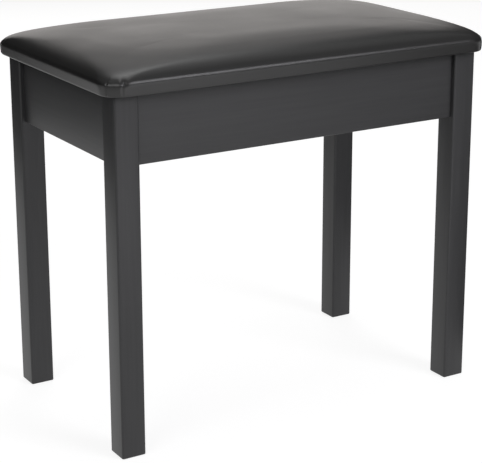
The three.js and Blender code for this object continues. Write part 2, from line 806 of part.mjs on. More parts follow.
// Distances across the stay, measured inwards from the side rail's inner face
const trackFace = trackStandoff + trackThickness;
const armBack = trackFace + fit;
const armFace = armBack + stayArmThickness;
const bracketBack = armFace + fit;
const bracketFace = bracketBack + bracketThickness;

// The strip is joggled: its feet lie on the rail and its middle stands off it, so that the pin's head
// has room to slide behind the slot.
function trackGeometry() {
  const [front, rear] = trackScrewPlaces();
  const reach = trackHalfHeight;
  const start = front.x - reach;
  const end = rear.x + reach;
  const foot = reach + panHeadRadius + trackFootMargin;
  const ramp = foot + trackRampLength;
  const strip = slab([
    new THREE.Vector2(start, 0),
    new THREE.Vector2(start + foot, 0),
    new THREE.Vector2(start + ramp, trackStandoff),
    new THREE.Vector2(end - ramp, trackStandoff),
    new THREE.Vector2(end - foot, 0),
    new THREE.Vector2(end, 0),
    new THREE.Vector2(end, trackThickness),
    new THREE.Vector2(end - foot, trackThickness),
    new THREE.Vector2(end - ramp, trackFace),
    new THREE.Vector2(start + ramp, trackFace),
    new THREE.Vector2(start + foot, trackThickness),
    new THREE.Vector2(start, trackThickness),
  ], railHeight);
  // Drawn as (Y, distance from the rail) and extruded up; turned so that the distance runs towards -X.
  strip.applyMatrix4(new THREE.Matrix4().makeBasis(unitY, unitX.clone().negate(), unitZ));
  strip.translate(0, 0, railBottom);
  const path = stayPinPath();
  const plan = slab(rolledOutline([front, ...path, rear], reach), railThickness);
  const slot = slab(rolledOutline(path, stayPinRadius + fit), railThickness);
  const holes = trackScrewPlaces().map((place) => (
    slab(circle(place.x, place.y, trackScrewRadius, screwSides), railThickness)));
  const cutters = [plan, slot, ...holes];
  cutters.forEach((tool) => tool.applyMatrix4(alongX).translate(-railThickness + cutOverrun, 0, 0));
  const blank = geometryOf(solidOf(strip).intersect(solidOf(plan)));
  return cut(blank, slot, ...holes);
}

function stayArmGeometry() {
  const reach = stayArmWidth / 2;
  const ends = [new THREE.Vector2(0, 0), new THREE.Vector2(-stayArmLength, 0)];
  const holeRadius = stayPinRadius + fit;
  const holes = ends.map((point) => circle(point.x, point.y, holeRadius, roundSides));
  const arm = slab(rolledOutline(ends, reach), stayArmThickness, holes);
  arm.applyMatrix4(alongX);
  arm.rotateX(radians(stayArmRestDip));
  return arm;
}

// The bracket under the lid, drawn round the pivot with its upright flange from zero towards -X
function bracketGeometry() {
  const half = bracketWidth / 2;
  const round = bracketBottomRound;
  const upright = slab([
    new THREE.Vector2(-half, stayPivotDrop),
    ...arc(0, 0, round, 180, 360, roundEndSteps),
    new THREE.Vector2(half, stayPivotDrop),
  ], bracketThickness, [circle(0, 0, stayPinRadius + fit, roundSides)]);
  upright.applyMatrix4(alongX).translate(-bracketThickness, 0, 0);
  const flangeBottom = stayPivotDrop - bracketThickness;
  const flange = box(-bracketFlangeReach, 0, -half, half, flangeBottom, stayPivotDrop);
  const holes = [-1, 1].map((end) => (
    cylinder(trackScrewRadius, flangeBottom - cutOverrun, stayPivotDrop + cutOverrun, screwSides,
      bracketHoleInset - bracketFlangeReach, end * (half - bracketHoleInset + fit))));
  return cut(join(upright, flange), ...holes);
}

// One stay, drawn for the right side with X zero at the side rail's inner face
function makeStay(side) {
  const name = side < 0 ? 'left' : 'right';
  const group = new THREE.Group();
  group.position.x = side * railInnerX;
  group.scale.x = side;
  group.add(part(`${name}_stay_track`, trackGeometry(), 'zincSteel'));
  trackScrewPlaces().forEach((place, index) => {
    const screw = panScrew().rotateY(-quarterTurn);
    const end = index === 0 ? 'front' : 'rear';
    group.add(part(`${name}_stay_track_${end}_screw`, screw, 'zincSteel',
      [-trackThickness, place.x, place.y]));
  });
  const pivot = [stayPivot.x, stayPivot.y];
  const pin = stayPinAt(0);
  const pivotRivet = stayRivet(bracketFace - armBack);
  const slidePin = stayRivet(armFace - trackStandoff);
  group.add(part(`${name}_stay_arm`, stayArmGeometry(), 'zincSteel', [-armFace, ...pivot]));
  group.add(part(`${name}_stay_lid_bracket`, bracketGeometry(), 'zincSteel', [-bracketBack, ...pivot]));
  group.add(part(`${name}_stay_pivot_rivet`, pivotRivet, 'zincSteel', [-bracketFace, ...pivot]));
  group.add(part(`${name}_stay_slide_pin`, slidePin, 'zincSteel', [-armFace, pin.x, pin.y]));
  return group;
}

const bench = new THREE.Group();
bench.name = 'keyboard_bench';
bench.add(...corners.map(makeCorner));
bench.add(...makeRails());
bench.add(makeStorageFloor());
bench.add(makeSeatBoard(), makeSeatFoam(), makeSeatCover(), makeLidLining());
bench.add(...makeBumpers());
[-1, 1].forEach((side) => bench.add(makeHinge(side), makeStay(side)));

export default bench;
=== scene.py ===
# Keyboard bench: a black painted frame with a padded seat that lifts over a storage compartment.
# Metres, +Z up, front is -Y, left is -X. The frame gives every place and size that a piece has to fit.
import json
import math

import bmesh
import bpy
import numpy as np
from mathutils import Matrix, Vector

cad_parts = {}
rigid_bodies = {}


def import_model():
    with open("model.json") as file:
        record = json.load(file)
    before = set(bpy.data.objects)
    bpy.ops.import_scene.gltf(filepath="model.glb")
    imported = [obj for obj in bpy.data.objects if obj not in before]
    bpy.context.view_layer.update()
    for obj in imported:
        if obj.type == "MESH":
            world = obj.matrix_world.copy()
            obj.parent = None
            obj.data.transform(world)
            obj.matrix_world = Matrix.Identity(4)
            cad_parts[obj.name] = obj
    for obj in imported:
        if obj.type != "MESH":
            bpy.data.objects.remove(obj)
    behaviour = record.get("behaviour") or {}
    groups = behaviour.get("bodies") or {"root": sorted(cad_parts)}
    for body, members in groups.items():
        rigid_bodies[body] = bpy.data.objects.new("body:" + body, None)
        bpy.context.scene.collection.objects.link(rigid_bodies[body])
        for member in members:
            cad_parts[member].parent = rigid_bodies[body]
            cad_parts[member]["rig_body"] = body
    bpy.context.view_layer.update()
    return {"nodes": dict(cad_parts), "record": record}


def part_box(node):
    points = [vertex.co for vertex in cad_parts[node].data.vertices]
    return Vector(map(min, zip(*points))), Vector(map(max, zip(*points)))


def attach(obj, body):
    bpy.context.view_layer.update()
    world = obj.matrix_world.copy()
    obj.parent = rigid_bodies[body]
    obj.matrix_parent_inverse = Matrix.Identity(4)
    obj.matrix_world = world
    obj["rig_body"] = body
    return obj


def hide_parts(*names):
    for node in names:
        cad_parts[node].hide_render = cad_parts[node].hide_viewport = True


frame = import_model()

nodes = frame["nodes"]
print("frame loaded,", len(nodes), "nodes")


# Camera and studio
camera = {
    "place": (-1.0345, -1.7215, 0.8454),
    "yaw": 30.98,
    "pitch": 16.17,
    "roll": 0.14,
    "imageWidth": 482,
    "focalPixels": 1577,
    "shiftPixels": -40,
    "sensor": 36,
    "farthest": 100,
}

studio = {
    "aim": (0, 0, 0.35),
    "floorRadius": 14,
    "floorSides": 96,
    "floorColour": (0.8, 0.8, 0.8, 1),
    "floorRoughness": 0.9,
    "floorGlow": 0.855,  # what the camera and the reflections see of the floor apart from the lamps
    "floorShadow": 0.32,  # how much of the lamps' light on the floor is added to it
    "wallGrey": 0.04,  # the world near the horizon
    "ceilingGrey": 0.3,
    "ceilingFrom": (0.3, 0.9),  # the sines of the heights where the wall ends and the ceiling begins
    "tints": {"warm": (1, 0.96, 0.93), "cool": (0.97, 0.96, 1), "plain": (1, 1, 1)},
    "lamps": {
        "rearSoftbox": {"place": (1.28, 2.78, 1.02), "size": (2.3, 1.1), "power": 10.4, "tint": "warm"},
        "highSoftbox": {"place": (0.7, 1.35, 2.33), "size": (0.9, 0.9), "power": 4.8, "tint": "plain"},
        "topSoftbox": {"place": (0.1, 0.35, 2.4), "size": (0.7, 1.7), "power": 9, "tint": "plain"},
        "dimSoftbox": {"place": (1.1, 0.3, 2.4), "size": (1.2, 1.4), "power": 1.8, "tint": "plain"},
        "ridgeSoftbox": {"place": (0.8, -1.95, 1.6), "size": (1.0, 1.0), "power": 26, "tint": "cool"},
        "lowSoftbox": {"place": (0.25, -1.4, 0.14), "size": (0.7, 0.28), "power": 1.6, "tint": "cool"},
        "keySoftbox": {"place": (-2.1, -1.2, 1.9), "size": (1.4, 1.2), "power": 20, "tint": "plain"},
    },
    "flags": {  # boards out of the camera's sight, which the gloss of the left and the right end shows
        "darkFlag": {"place": (-0.85, 1.2, 0.6), "turn": (90, 0, 35.3), "size": (1.5, 1.2), "grey": 0.02},
        "greyFlag": {"place": (1.244, -0.727, 0.002), "turn": (0, 0, 33), "size": (1.0, 1.9), "grey": 0.1},
    },
}


def addCamera():
    tilt = (math.radians(90 - camera["pitch"]), math.radians(camera["roll"]), math.radians(-camera["yaw"]))
    bpy.ops.object.camera_add(location=camera["place"], rotation=tilt)
    eye = bpy.context.object
    eye.data.sensor_width = camera["sensor"]
    eye.data.lens = camera["focalPixels"] * camera["sensor"] / camera["imageWidth"]
    eye.data.shift_y = camera["shiftPixels"] / camera["imageWidth"]
    eye.data.clip_end = camera["farthest"]
    bpy.context.scene.camera = eye


def addFloor():
    bpy.ops.mesh.primitive_circle_add(
        vertices=studio["floorSides"], radius=studio["floorRadius"], fill_type="NGON")
    floor = bpy.context.object
    floor.name = "floor"
    material = newMaterial("paleFloor")
    paleness = {"Base Color": studio["floorColour"], "Roughness": studio["floorRoughness"]}
    shader = setShader(material, **paleness)
    glow = addNode(material, "ShaderNodeEmission", Strength=studio["floorGlow"])
    both = addNode(material, "ShaderNodeAddShader")
    join(material, scaledShader(material, shader.outputs[0], studio["floorShadow"]), both.inputs[0])
    join(material, glow.outputs[0], both.inputs[1])
    seen = addNode(material, "ShaderNodeMixShader")
    join(material, backgroundRays(material), seen.inputs[0])
    join(material, shader.outputs[0], seen.inputs[1])
    join(material, both.outputs[0], seen.inputs[2])
    join(material, seen.outputs[0], material.node_tree.nodes["Material Output"].inputs[0])
    floor.data.materials.append(material)


def backgroundRays(material):
    # 1 for the rays that show the background: from the camera, off a gloss or through glass
    paths = addNode(material, "ShaderNodeLightPath")
    first = addNode(material, "ShaderNodeMath", operation="MAXIMUM")
    second = addNode(material, "ShaderNodeMath", operation="MAXIMUM")
    join(material, paths.outputs["Is Camera Ray"], first.inputs[0])
    join(material, paths.outputs["Is Glossy Ray"], first.inputs[1])
    join(material, first.outputs[0], second.inputs[0])
    join(material, paths.outputs["Is Transmission Ray"], second.inputs[1])
    return second.outputs[0]


def scaledShader(material, shaderSocket, share):
    nothing = addNode(material, "ShaderNodeEmission", Strength=0)
    mix = addNode(material, "ShaderNodeMixShader", Fac=share)
    join(material, nothing.outputs[0], mix.inputs[1])
    join(material, shaderSocket, mix.inputs[2])
    return mix.outputs[0]


def addLamps():
    world = bpy.data.worlds.new("studio")
    world.use_nodes = True
    place = addNode(world, "ShaderNodeTexCoord")
    parts = addNode(world, "ShaderNodeSeparateXYZ")
    join(world, place.outputs["Generated"], parts.inputs[0])
    low, high = studio["ceilingFrom"]
    sky = ramp(world, parts.outputs["Z"], (low, studio["wallGrey"]), (high, studio["ceilingGrey"]))
    join(world, sky, world.node_tree.nodes["Background"].inputs[0])
    bpy.context.scene.world = world
    aim = Vector(studio["aim"])
    for name, lamp in studio["lamps"].items():
        bpy.ops.object.light_add(type="AREA", location=lamp["place"])
        softbox = bpy.context.object
        softbox.name = name
        softbox.data.shape = "RECTANGLE"
        softbox.data.size, softbox.data.size_y = lamp["size"]
        softbox.data.energy = lamp["power"]
        softbox.data.color = studio["tints"][lamp["tint"]]
        softbox.rotation_euler = (aim - softbox.location).to_track_quat("-Z", "Y").to_euler()
        softbox.visible_camera = False


def addFlags():
    for name, flag in studio["flags"].items():
        turn = [math.radians(angle) for angle in flag["turn"]]
        bpy.ops.mesh.primitive_plane_add(size=1, location=flag["place"], rotation=turn)
        board = bpy.context.object
        board.name = name
        board.scale = (*flag["size"], 1)
        material = newMaterial(name)
        setShader(material, **{"Base Color": (*[flag["grey"]] * 3, 1), "Roughness": 1.0})
        board.data.materials.append(material)
        board.visible_camera = board.visible_shadow = board.visible_diffuse = False


# Material building
def newMaterial(name):
    material = bpy.data.materials.new(name)
    material.use_nodes = True
    return material


def addNode(material, kind, **values):
    node = material.node_tree.nodes.new(kind)
    for name, value in values.items():
        if name in node.inputs:
            node.inputs[name].default_value = value
        else:
            setattr(node, name, value)
    return node


def join(material, fromSocket, toSocket):
    material.node_tree.links.new(fromSocket, toSocket)


def setShader(material, **values):
    shader = material.node_tree.nodes["Principled BSDF"]
    for name, value in values.items():
        shader.inputs[name].default_value = value
    return shader


def feed(material, **sockets):
    # joins each socket to the shader's input: colour, roughness or normal
    shader = material.node_tree.nodes["Principled BSDF"]
    inputs = {"colour": "Base Color", "roughness": "Roughness", "normal": "Normal"}
    for name, socket in sockets.items():
        join(material, socket, shader.inputs[inputs[name]])


def noise(material, scale, stretch=(1, 1, 1), detail=4):
    place = addNode(material, "ShaderNodeTexCoord")
    mapping = addNode(material, "ShaderNodeMapping", Scale=stretch)
    pattern = addNode(material, "ShaderNodeTexNoise", Scale=scale, Detail=detail)
    join(material, place.outputs["Object"], mapping.inputs[0])
    join(material, mapping.outputs[0], pattern.inputs["Vector"])
    return pattern.outputs["Fac"]


def cells(material, scale, feature="F1"):
    place = addNode(material, "ShaderNodeTexCoord")
    pattern = addNode(material, "ShaderNodeTexVoronoi", Scale=scale, feature=feature)
    join(material, place.outputs["Object"], pattern.inputs["Vector"])
    return pattern.outputs["Distance"]


def ramp(material, factor, *stops):
    # stops are (position, colour) pairs; a plain number stands for a grey
    node = addNode(material, "ShaderNodeValToRGB")
    elements = node.color_ramp.elements
    while len(elements) < len(stops):
        elements.new(0.5)
    for element, (position, colour) in zip(elements, stops):
        element.position = position
        element.color = (colour, colour, colour, 1) if isinstance(colour, float) else (*colour, 1)
    join(material, factor, node.inputs[0])
    return node.outputs[0]


def mixColours(material, factor, first, second):
    node = addNode(material, "ShaderNodeMix", data_type="RGBA")
    join(material, factor, node.inputs[0])
    for value, socket in ((first, node.inputs[6]), (second, node.inputs[7])):
        if isinstance(value, tuple):
            socket.default_value = (*value, 1)
        else:
            join(material, value, socket)
    return node.outputs[2]


def bump(material, height, distance, strength, under=None):
    node = addNode(material, "ShaderNodeBump", Strength=strength, Distance=distance)
    join(material, height, node.inputs["Height"])
    if under is not None:
        join(material, under, node.inputs["Normal"])
    return node.outputs[0]


def arrisMask(material, start, end):
    # 0 on a flat face, 1 where the surface turns over an arris
    place = addNode(material, "ShaderNodeTexCoord")
    parts = addNode(material, "ShaderNodeSeparateXYZ")
    join(material, place.outputs["Normal"], parts.inputs[0])
    largest = None
    for output in parts.outputs:
        size = addNode(material, "ShaderNodeMath", operation="ABSOLUTE")
        join(material, output, size.inputs[0])
        if largest is None:
            largest = size.outputs[0]
        else:
            pick = addNode(material, "ShaderNodeMath", operation="MAXIMUM")
            join(material, largest, pick.inputs[0])
            join(material, size.outputs[0], pick.inputs[1])
            largest = pick.outputs[0]
    return ramp(material, largest, (1 - end, 1.0), (1 - start, 0.0))


# Finishes: in each, a pattern has its scale, and a bump its distance and strength
paint = {
    "colour": (0.021, 0.021, 0.022),
    "streak": (0.027, 0.027, 0.0282),
    "streakFrom": (0.35, 0.75),
    "worn": (0.05, 0.05, 0.052),
    "wear": 0.35,  # how much of the worn colour shows on an arris
    "wearFrom": (0.05, 0.3),
    "wearPatches": {"scale": 60, "detail": 3},
    "ior": 1.46,
    "roughness": ((0.3, 0.40), (0.7, 0.50)),
    "grain": {"scale": 260, "detail": 5},
    "sheen": {"scale": 9, "detail": 2},
    "stretch": 0.035,  # along the grain
    "brushed": {"distance": 0.00006, "strength": 0.6},
    "dust": {"scale": 900, "detail": 2},
    "dustBump": {"distance": 0.00002, "strength": 0.5},
}


def paintedWood(axis):
    # satin paint that shows a faint grain along the axis, a little worn on the arrises
    material = newMaterial("paintedWood" + "XYZ"[axis])
    stretch = tuple(paint["stretch"] if i == axis else 1 for i in range(3))
    grain = noise(material, stretch=stretch, **paint["grain"])
    sheen = noise(material, stretch=stretch, **paint["sheen"])
    first, last = paint["streakFrom"]
    tone = ramp(material, grain, (first, paint["colour"]), (last, paint["streak"]))
    arris = arrisMask(material, *paint["wearFrom"])
    wear = mixColours(material, arris, (0.0, 0.0, 0.0), (paint["wear"],) * 3)
    patch = addNode(material, "ShaderNodeMath", operation="MULTIPLY")
    join(material, wear, patch.inputs[0])
    join(material, noise(material, **paint["wearPatches"]), patch.inputs[1])
    colour = mixColours(material, patch.outputs[0], tone, paint["worn"])
    setShader(material, IOR=paint["ior"])
    brushed = bump(material, grain, **paint["brushed"])
    normal = bump(material, noise(material, **paint["dust"]), under=brushed, **paint["dustBump"])
    feed(material, colour=colour, roughness=ramp(material, sheen, *paint["roughness"]), normal=normal)
    return material


leather = {
    "colour": (0.0105, 0.0102, 0.0099),
    "faded": (0.014, 0.0136, 0.0132),
    "fadedFrom": (0.35, 0.7),
    "valleyShade": (0.008, 0.008, 0.008),  # painted shade: a darker colour between the pebbles of the grain
    "ior": 1.5,
    "roughness": ((0.3, 0.38), (0.7, 0.34)),
    "pebble": 850,
    "pebbleBump": {"distance": 0.00012, "strength": 0.5},
    "wave": {"scale": 9, "detail": 3},
    "waveBump": {"distance": 0.0003, "strength": 0.5},
    "pore": {"scale": 2400, "detail": 3},
    "poreBump": {"distance": 0.00003, "strength": 0.5},
}


def seatLeather():
    material = newMaterial("blackLeather")
    pebble = cells(material, leather["pebble"], "SMOOTH_F1")
    wave = noise(material, **leather["wave"])
    first, last = leather["fadedFrom"]
    tone = ramp(material, wave, (first, leather["colour"]), (last, leather["faded"]))
    setShader(material, IOR=leather["ior"])
    soft = bump(material, wave, **leather["waveBump"])
    grain = bump(material, pebble, under=soft, **leather["pebbleBump"])
    normal = bump(material, noise(material, **leather["pore"]), under=grain, **leather["poreBump"])
    # the valleys between the pebbles are painted darker: painted shade
    colour = mixColours(material, pebble, tone, leather["valleyShade"])
    feed(material, colour=colour, roughness=ramp(material, wave, *leather["roughness"]), normal=normal)
    return material


steelLook = {
    "cloud": {"scale": 220, "detail": 4},
    "colour": ((0.3, (0.52, 0.53, 0.55)), (0.7, (0.66, 0.67, 0.68))),
    "roughness": ((0.3, 0.42), (0.7, 0.3)),
    "grit": {"scale": 1500, "detail": 2},
    "gritBump": {"distance": 0.00003, "strength": 0.4},
}


def zincSteel():
    material = newMaterial("zincSteel")
    cloud = noise(material, **steelLook["cloud"])
    setShader(material, Metallic=1.0)
    normal = bump(material, noise(material, **steelLook["grit"]), **steelLook["gritBump"])
    feed(material, colour=ramp(material, cloud, *steelLook["colour"]),
         roughness=ramp(material, cloud, *steelLook["roughness"]), normal=normal)
    return material


softwoodLook = {
    "rings": {"scale": 240, "stretch": (1, 1, 0.03), "detail": 3},
    "colour": ((0.3, (0.46, 0.32, 0.18)), (0.55, (0.36, 0.23, 0.12)), (0.72, (0.24, 0.14, 0.07))),
    "roughness": 0.7,
    "ringBump": {"distance": 0.0001, "strength": 0.6},
}


def softwood():
    # bare spruce with its rings along the block
    material = newMaterial("bareSoftwood")
    rings = noise(material, **softwoodLook["rings"])
    setShader(material, Roughness=softwoodLook["roughness"])
    feed(material, colour=ramp(material, rings, *softwoodLook["colour"]),
         normal=bump(material, rings, **softwoodLook["ringBump"]))
    return material


plywoodLook = {
    "plies": {"Scale": 210, "Distortion": 0.4},
    "plyLines": ((0.4, 0.0), (0.6, 0.35)),
    "glue": (0.2, 0.12, 0.06),
    "face": {"scale": 130, "stretch": (0.05, 1, 1), "detail": 4},
    "colour": ((0.3, (0.56, 0.41, 0.25)), (0.7, (0.44, 0.3, 0.17))),
    "roughness": 0.65,
    "faceBump": {"distance": 0.00008, "strength": 0.5},
}


def plywood():
    material = newMaterial("birchPlywood")
    place = addNode(material, "ShaderNodeTexCoord")
    plies = addNode(material, "ShaderNodeTexWave", bands_direction="Z", **plywoodLook["plies"])
    join(material, place.outputs["Object"], plies.inputs["Vector"])
    face = noise(material, **plywoodLook["face"])
    setShader(material, Roughness=plywoodLook["roughness"])
    lines = ramp(material, plies.outputs["Fac"], *plywoodLook["plyLines"])
    colour = mixColours(material, lines, ramp(material, face, *plywoodLook["colour"]), plywoodLook["glue"])
    feed(material, colour=colour, normal=bump(material, face, **plywoodLook["faceBump"]))
    return material


hardboardLook = {
    "fleck": {"scale": 700, "detail": 5},
    "colour": ((0.35, 0.018), (0.7, 0.032)),
    "roughness": ((0.3, 0.55), (0.7, 0.7)),
    "fleckBump": {"distance": 0.00005, "strength": 0.6},
}


def hardboard():
    material = newMaterial("blackHardboard")
    fleck = noise(material, **hardboardLook["fleck"])
    feed(material, colour=ramp(material, fleck, *hardboardLook["colour"]),
         roughness=ramp(material, fleck, *hardboardLook["roughness"]),
         normal=bump(material, fleck, **hardboardLook["fleckBump"]))
    return material


rubberLook = {
    "speck": {"scale": 1200, "detail": 3},
    "colour": ((0.3, 0.012), (0.7, 0.022)),
    "roughness": 0.85,
    "speckBump": {"distance": 0.00006, "strength": 0.6},
}


def rubber():
    material = newMaterial("blackRubber")
    speck = noise(material, **rubberLook["speck"])
    setShader(material, Roughness=rubberLook["roughness"])
    feed(material, colour=ramp(material, speck, *rubberLook["colour"]),
         normal=bump(material, speck, **rubberLook["speckBump"]))
    return material


foamLook = {
    "pores": 700,
    # darker towards the middle of each pore, where the bump sinks it: painted shade in the pores
    "colour": ((0.1, (0.5, 0.42, 0.25)), (0.5, (0.8, 0.72, 0.5))),
    "roughness": 0.95,
    "poreBump": {"distance": 0.0006, "strength": 0.8},
}


def openFoam():
    material = newMaterial("openCellFoam")
    pores = cells(material, foamLook["pores"])
    setShader(material, Roughness=foamLook["roughness"])
    # the pores' hollows get the darker colour: painted shade
    feed(material, colour=ramp(material, pores, *foamLook["colour"]),
         normal=bump(material, pores, **foamLook["poreBump"]))
    return material


liningLook = {
    "fibres": {"scale": 1600, "stretch": (1, 0.25, 1), "detail": 5},
    "spots": 620,
    "colour": ((0.3, 0.01), (0.7, 0.03)),
    "roughness": 0.92,
    "spotBump": {"distance": 0.0002, "strength": 0.6},
    "fibreBump": {"distance": 0.0001, "strength": 0.6},
}


def feltLining():
    material = newMaterial("blackLining")
    fibres = noise(material, **liningLook["fibres"])
    setShader(material, Roughness=liningLook["roughness"])
    pressed = bump(material, cells(material, liningLook["spots"]), **liningLook["spotBump"])
    feed(material, colour=ramp(material, fibres, *liningLook["colour"]),
         normal=bump(material, fibres, under=pressed, **liningLook["fibreBump"]))
    return material


finishes = {
    "woodX": paintedWood(0),
    "woodY": paintedWood(1),
    "woodZ": paintedWood(2),
    "leather": seatLeather(),
    "steel": zincSteel(),
    "softwood": softwood(),
    "plywood": plywood(),
    "hardboard": hardboard(),
    "rubber": rubber(),
    "foam": openFoam(),
    "lining": feltLining(),
}
print("finishes made")


# Modelling helpers
tolerance = {
    "level": 1e-5,  # two ends that differ by less are at one height
    "run": 1e-3,  # an edge runs along an axis when its ends differ by more
    "point": 1e-6,
    "zero": 1e-9,
}
easing = {"steps": 2, "sharperThan": 30}  # how the sharp edges of the hardware are eased
usualSmooth = 35  # degrees between two faces up to which they are shaded as one


def deselectAll():
    bpy.ops.object.select_all(action="DESELECT")


def activate(piece):
    deselectAll()
    piece.select_set(True)
    bpy.context.view_layer.objects.active = piece


def boxAt(name, low, high):
    deselectAll()
    low, high = Vector(low), Vector(high)
    bpy.ops.mesh.primitive_cube_add(size=1, location=(low + high) / 2, scale=high - low)
    return namedPiece(name)


def rodAt(name, radius, start, end, sides):
    # a cylinder between two points
    deselectAll()
    start, end = Vector(start), Vector(end)
    turn = (end - start).to_track_quat("Z", "Y").to_euler()
    bpy.ops.mesh.primitive_cylinder_add(
        vertices=sides, radius=radius, depth=(end - start).length,
        location=(start + end) / 2, rotation=turn)
    return namedPiece(name)


def namedPiece(name):
    # the piece that was added last, named and with its place, turn and size in its points
    piece = bpy.context.object
    piece.name = name
    bpy.ops.object.transform_apply(location=True, rotation=True, scale=True)
    return piece


def bevelEdges(piece, width, steps, wanted):
    # bevels the edges whose two ends pass the test
    activate(piece)
    bpy.ops.object.mode_set(mode="EDIT")
    bpy.ops.mesh.select_mode(type="EDGE")
    bpy.ops.mesh.select_all(action="DESELECT")
    mesh = bmesh.from_edit_mesh(piece.data)
    for edge in mesh.edges:
        edge.select = wanted(edge.verts[0].co, edge.verts[1].co)
    bmesh.update_edit_mesh(piece.data)
    bpy.ops.mesh.bevel(offset=width, segments=steps, affect="EDGES")
    bpy.ops.object.mode_set(mode="OBJECT")


def runsAlong(axis):
    # picks the edges that run along this axis
    return lambda a, b: abs(a[axis] - b[axis]) > tolerance["run"]


def isLevel(a, b):
    return abs(a.z - b.z) < tolerance["level"]


def liesAt(level):
    # picks the edges that lie at this height
    return lambda a, b: max(abs(a.z - level), abs(b.z - level)) < tolerance["point"]


def useModifier(piece, kind, **values):
    activate(piece)
    modifier = piece.modifiers.new(kind.lower(), kind)
    for name, value in values.items():
        setattr(modifier, name, value)
    bpy.ops.object.modifier_apply(modifier=modifier.name)


def cutWith(piece, *cutters):
    for cutter in cutters:
        useModifier(piece, "BOOLEAN", operation="DIFFERENCE", object=cutter)
        bpy.data.objects.remove(cutter)


def bevelSharp(piece, width):
    useModifier(piece, "BEVEL", width=width, segments=easing["steps"], limit_method="ANGLE",
                angle_limit=math.radians(easing["sharperThan"]))


def turnBox(piece, angle, place):
    piece.data.transform(Matrix.Translation((*place, 0)) @ Matrix.Rotation(angle, 4, "Z"))


def finishPiece(piece, finish, body, slot, *replaced, smoothAngle=usualSmooth):
    activate(piece)
    bpy.ops.object.shade_smooth_by_angle(angle=math.radians(smoothAngle))
    piece.data.materials.clear()
    piece.data.materials.append(finishes[finish])
    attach(piece, body)
    if replaced:
        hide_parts(*replaced)


# Legs and rails
legShape = {
    "arris": 0.0025,
    "arrisSteps": 5,
    "endEase": 0.0012,
    "endSteps": 3,
    "flat": 0.008,  # the inner arris is cut flat by this much on each face, behind the corner block
    "flatGap": 0.0003,
    "boltHole": 0.0033,
    "boltReach": 0.0143,
    "holeSides": 24,
    "cutLength": 0.06,
}


def makeLeg(corner):
    low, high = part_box(f"{corner}_leg")
    blockLow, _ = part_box(f"{corner}_corner_block")
    leg = boxAt(f"{corner}_leg_wood", low, high)
    bevelEdges(leg, legShape["arris"], legShape["arrisSteps"], runsAlong(2))
    bevelEdges(leg, legShape["endEase"], legShape["endSteps"], isLevel)
    axis = (low + high) / 2
    inward = Vector((-math.copysign(1, axis.x), -math.copysign(1, axis.y), 0)).normalized()
    flatAt = (high.x - low.x - legShape["flat"] / math.sqrt(2)) / math.sqrt(2)
    reach = legShape["cutLength"]
    bottom = blockLow.z - legShape["flatGap"]
    cutter = boxAt("cutter", (flatAt, -reach, bottom), (flatAt + reach, reach, high.z + reach))
    turnBox(cutter, math.atan2(inward.y, inward.x), (axis.x, axis.y))
    holes = []
    for level in ("lower", "upper"):
        boltLow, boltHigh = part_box(f"{corner}_{level}_leg_bolt")
        onAxis = Vector((axis.x, axis.y, (boltLow.z + boltHigh.z) / 2))
        start = onAxis + inward * (flatAt - legShape["boltReach"])
        end = start + inward * reach
        holes.append(rodAt("hole", legShape["boltHole"], start, end, legShape["holeSides"]))
    cutWith(leg, cutter, *holes)
    finishPiece(leg, "woodZ", "frame", "painted_wood", f"{corner}_leg")


for cornerName in ("front_left", "front_right", "rear_right", "rear_left"):
    makeLeg(cornerName)
print("legs made")

railShape = {
    "ease": 0.0012,
    "easeSteps": 4,
    "groove": 0.005,
    "grooveGap": 0.0003,
    "screwHole": 0.0018,
    "holeDepth": 0.011,
    "holeSides": 24,
    "holeBelow": 0.0004,  # how much deeper a hinge screw's hole is than the screw
    "holeAbove": 0.01,  # how far its cutter stands out over the rail
}


def makeRail(side):
    low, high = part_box(f"{side}_rail")
    floorLow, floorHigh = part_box("storage_floor")
    rail = boxAt(f"{side}_rail_wood", low, high)
    along = 0 if high.x - low.x > high.y - low.y else 1
    bevelEdges(rail, railShape["ease"], railShape["easeSteps"], runsAlong(along))
    reach = railShape["groove"]
    gap = railShape["grooveGap"]
    inside = 1 if low[1 - along] < 0 else -1
    face = high[1 - along] if inside > 0 else low[1 - along]
    start, end = sorted((face - inside * reach, face + inside * reach))
    grooveLow, grooveHigh = low.copy(), high.copy()
    grooveLow[1 - along], grooveHigh[1 - along] = start, end
    grooveLow[along] -= reach
    grooveHigh[along] += reach
    grooveLow.z, grooveHigh.z = floorLow.z - gap, floorHigh.z + gap
    cutters = [boxAt("cutter", grooveLow, grooveHigh)]
    if along == 1:
        cutters += [trackHole(side, end, face, inside) for end in ("front", "rear")]
    if side == "rear":
        cutters += [hingeHole(hinge, number, high.z) for hinge in ("left", "right") for number in (1, 2)]
    cutWith(rail, *cutters)
    finishPiece(rail, "woodX" if along == 0 else "woodY", "frame", "painted_wood", f"{side}_rail")


def screwHole(start, end):
    return rodAt("hole", railShape["screwHole"], start, end, railShape["holeSides"])


def trackHole(side, end, face, inside):
    low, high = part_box(f"{side}_stay_track_{end}_screw")
    middle = (low + high) / 2
    reach = inside * railShape["holeDepth"]
    return screwHole((face - reach, middle.y, middle.z), (face + reach, middle.y, middle.z))


def hingeHole(hinge, number, top):
    low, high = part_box(f"{hinge}_hinge_rail_screw_{number}")
    middle = (low + high) / 2
    bottom = low.z - railShape["holeBelow"]
    return screwHole((middle.x, middle.y, bottom), (middle.x, middle.y, top + railShape["holeAbove"]))


for sideName in ("front", "rear", "left", "right"):
    makeRail(sideName)
print("rails made")


